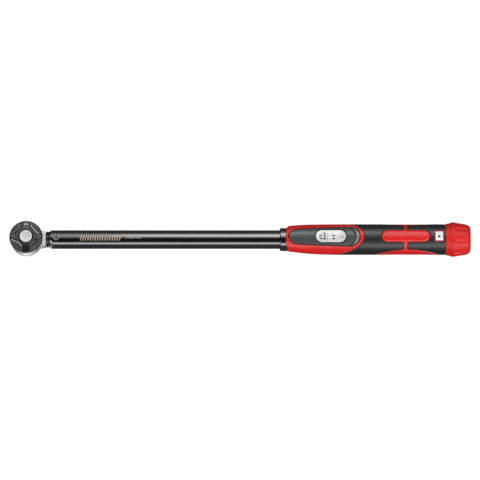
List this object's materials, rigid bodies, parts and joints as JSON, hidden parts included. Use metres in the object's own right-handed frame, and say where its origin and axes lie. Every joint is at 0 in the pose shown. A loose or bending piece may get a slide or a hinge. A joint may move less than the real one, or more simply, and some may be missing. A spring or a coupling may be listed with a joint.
{
  "type": "torque wrench",
  "caption": "Click-type torque wrench with a half-inch square drive, reversing ratchet head, scale window and locking adjuster knob.",
  "frame": {"origin": "centre of the square drive's end face, where a socket seats", "axes": "-Z leaves the drive square, +X runs along the tube from the head to the adjuster knob, and the selector disc faces +Z"},
  "size_m": [0.53, 0.0398, 0.0449],
  "materials": {
    "chrome": "bright chrome plate, polished",
    "black_paint": "gloss black enamel",
    "machined_steel": "turned and ground, lightly oiled",
    "spring_steel": "drawn wire, oiled",
    "black_oxide": "black oxide",
    "bearing_steel": "polished hardened balls",
    "bronze": "turned bronze",
    "seal_rubber": "matte moulded rubber",
    "red_plastic": "moulded, fine satin texture",
    "grip_rubber": "soft-touch overmould, satin",
    "panel_plastic": "semi-gloss moulded panel",
    "black_plastic": "moulded glass-filled nylon",
    "scale_white": "white with black printed marks",
    "clear_lens": "clear polished acrylic",
    "label_print": "printed film label"
  },
  "bodies": {
    "wrench_body": {"main_tube": "black_paint", "front_seal": "seal_rubber", "pivot_pin": "machined_steel", "handle_tube": "black_paint", "nut_key_screw": "machined_steel", "grip_core": "red_plastic", "grip_overmould": "grip_rubber", "display_panel": "panel_plastic", "window_frame": "black_plastic", "scale_lens": "clear_lens", "lock_label": "label_print", "bearing_plug": "machined_steel", "thrust_race_rear": "machined_steel", "rear_bush": "bronze", "lock_ring": "machined_steel", "main_spring": "spring_steel"},
    "ratchet_head_arm": {"ratchet_head": "chrome", "cover_plate": "machined_steel", "cover_snap_ring": "spring_steel", "pawl_pin": "machined_steel", "selector_detent_ball": "bearing_steel", "selector_detent_spring": "spring_steel", "pivot_bush": "bronze"},
    "square_drive": {"square_drive_gear": "chrome", "button_bezel": "black_oxide", "release_spring": "spring_steel"},
    "release_plunger": {"release_button": "chrome", "release_rod": "machined_steel"},
    "detent_ball": {"socket_ball": "bearing_steel"},
    "selector": {"selector_disc": "black_plastic", "shift_peg": "machined_steel", "selector_circlip": "spring_steel"},
    "ratchet_pawl": {"pawl": "machined_steel"},
    "click_plunger": {"plunger": "machined_steel", "front_spring_washer": "machined_steel"},
    "click_block": {"tilting_block": "machined_steel"},
    "spindle": {"adjusting_spindle": "machined_steel", "units_drum": "scale_white", "drum_set_screw": "black_oxide", "thrust_race_front": "machined_steel", "thrust_ball_cage": "bronze", "thrust_balls": "bearing_steel", "knob_washer": "spring_steel", "knob_screw": "black_oxide", "knob_return_spring": "spring_steel"},
    "load_nut_carriage": {"load_nut": "machined_steel", "rear_spring_washer": "machined_steel", "coarse_scale_sleeve": "scale_white"},
    "knob": {"knob_shell": "red_plastic", "knob_hub": "machined_steel", "knob_cap": "red_plastic"}
  },
  "joints": [
    {"name": "head_click", "type": "hinge", "parent": "wrench_body", "child": "ratchet_head_arm", "pos_m": [0.0347, 0, 0.025], "axis": [0, 0, 1], "range_deg": [0, 2], "stiffness_Nm_per_rad": 60},
    {"name": "plunger_slide", "type": "slide", "parent": "wrench_body", "child": "click_plunger", "axis": [1, 0, 0], "range_m": [0, 0.0022], "deforming": ["main_spring"]},
    {"name": "block_tilt", "type": "hinge", "parent": "click_plunger", "child": "click_block", "pos_m": [0.1262, 0.0035, 0.025], "axis": [0, 0, 1], "range_deg": [-21.1, 0]},
    {"name": "drive_spin", "type": "hinge", "parent": "ratchet_head_arm", "child": "square_drive", "pos_m": [0, 0, 0.025], "axis": [0, 0, 1], "continuous": true},
    {"name": "release_press", "type": "slide", "parent": "square_drive", "child": "release_plunger", "axis": [0, 0, -1], "range_m": [0, 0.0025], "stiffness_N_per_m": 800, "deforming": ["release_spring"]},
    {"name": "ball_retract", "type": "slide", "parent": "square_drive", "child": "detent_ball", "axis": [0, 1, 0], "range_m": [0, 0.0008]},
    {"name": "selector_turn", "type": "hinge", "parent": "ratchet_head_arm", "child": "selector", "pos_m": [0, 0, 0.025], "axis": [0, 0, 1], "range_deg": [0, 36]},
    {"name": "pawl_rock", "type": "hinge", "parent": "ratchet_head_arm", "child": "ratchet_pawl", "pos_m": [0.0151, 0, 0.025], "axis": [0, 0, 1], "range_deg": [0, 7.2]},
    {"name": "adjuster_turn", "type": "hinge", "parent": "wrench_body", "child": "spindle", "pos_m": [0.4, 0, 0.025], "axis": [-1, 0, 0], "range_deg": [0, 5760]},
    {"name": "load_nut_slide", "type": "slide", "parent": "wrench_body", "child": "load_nut_carriage", "axis": [-1, 0, 0], "range_m": [0, 0.024], "deforming": ["main_spring"]},
    {"name": "knob_unlock", "type": "slide", "parent": "spindle", "child": "knob", "axis": [1, 0, 0], "range_m": [0, 0.006], "stiffness_N_per_m": 400, "deforming": ["knob_return_spring"]}
  ],
  "couplings": [
    {"joint": "plunger_slide", "follows": "head_click", "m_per_rad": 0.0616},
    {"joint": "block_tilt", "follows": "head_click", "ratio": -10.5},
    {"joint": "ball_retract", "follows": "release_press", "ratio": 0.32},
    {"joint": "pawl_rock", "follows": "selector_turn", "ratio": 0.2},
    {"joint": "load_nut_slide", "follows": "adjuster_turn", "m_per_rad": 0.00023873}
  ]
}
